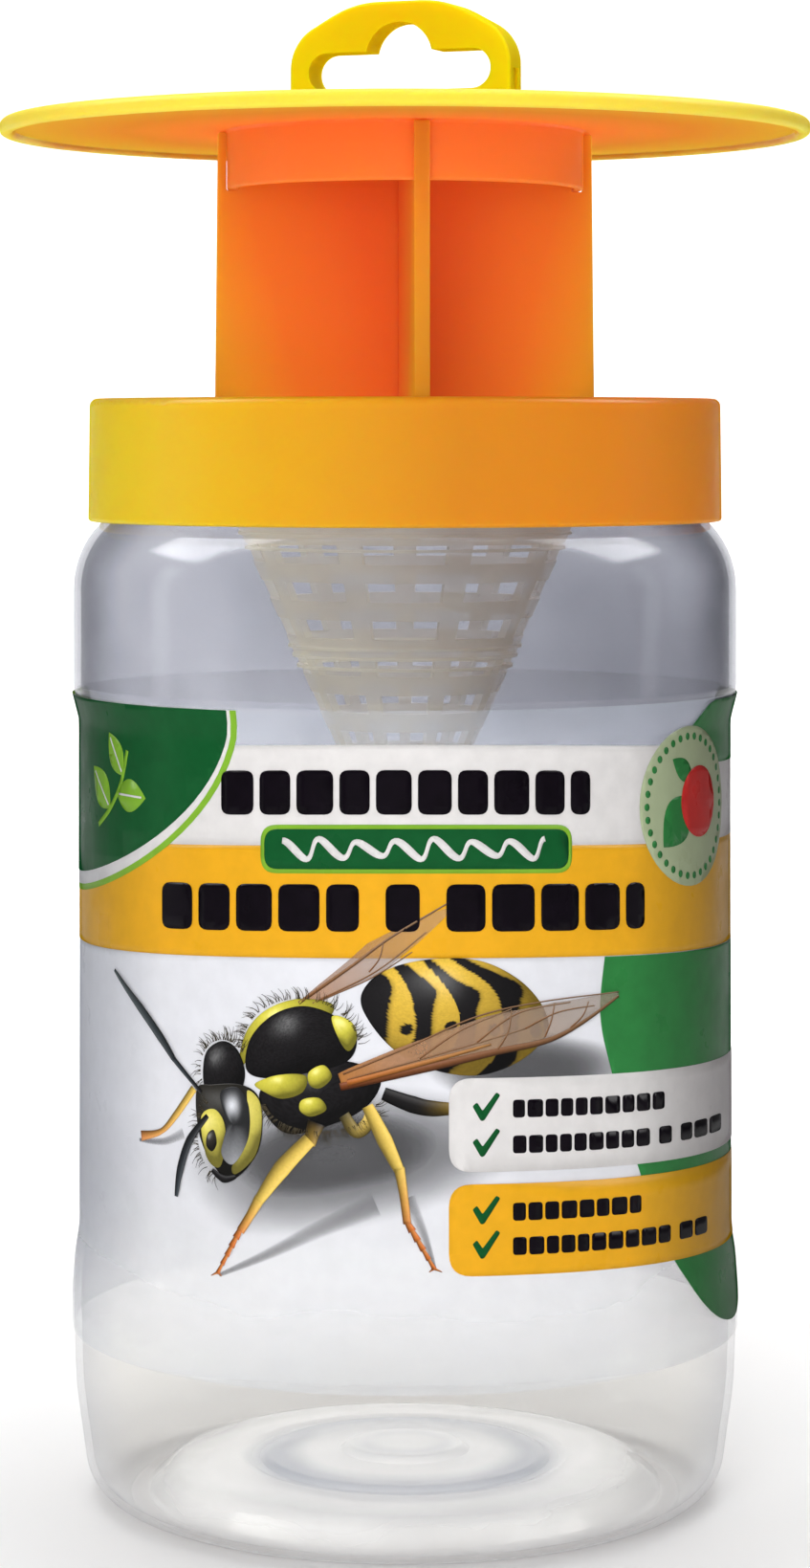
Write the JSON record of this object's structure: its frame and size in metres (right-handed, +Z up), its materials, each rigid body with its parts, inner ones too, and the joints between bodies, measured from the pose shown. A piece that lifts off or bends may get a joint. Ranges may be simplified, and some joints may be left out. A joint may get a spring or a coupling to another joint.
{
  "type": "wasp trap",
  "caption": "Hanging wasp trap: clear jar with printed sleeve, screw lid, windowed entry cone, crossed-vane stem, rain roof and swivelling hanger.",
  "frame": {"origin": "centre of the jar's standing ring", "axes": "+Z up along the jar's axis, -Y is the label's front"},
  "size_m": [0.1222, 0.1222, 0.2245],
  "materials": {
    "clear_pet": "clear gloss",
    "printed_film": "printed gloss film",
    "yellow_plastic": "satin moulded",
    "orange_plastic": "satin moulded",
    "frosted_plastic": "frosted"
  },
  "bodies": {
    "jar": {"jar": "clear_pet", "label_sleeve": "printed_film"},
    "cone": {"entry_cone": "frosted_plastic"},
    "lid": {"screw_lid": "yellow_plastic", "vane_cross": "orange_plastic"},
    "roof": {"rain_roof": "yellow_plastic"},
    "hanger": {"hanger": "yellow_plastic"}
  },
  "joints": [
    {"name": "lid_rise", "type": "slide", "parent": "jar", "child": "cone", "axis": [0, 0, 1], "range_m": [0, 0.00626]},
    {"name": "lid_turn", "type": "hinge", "parent": "cone", "child": "lid", "pos_m": [0, 0, 0.155], "axis": [0, 0, 1], "range_deg": [0, 450]},
    {"name": "roof_pull_off", "type": "slide", "parent": "lid", "child": "roof", "axis": [0, 0, 1], "range_m": [0, 0.012]},
    {"name": "hanger_swivel", "type": "hinge", "parent": "roof", "child": "hanger", "pos_m": [0, 0, 0.2056], "axis": [0, 0, 1], "continuous": true}
  ],
  "couplings": [
    {"joint": "lid_rise", "follows": "lid_turn", "m_per_rad": 0.00079577}
  ]
}
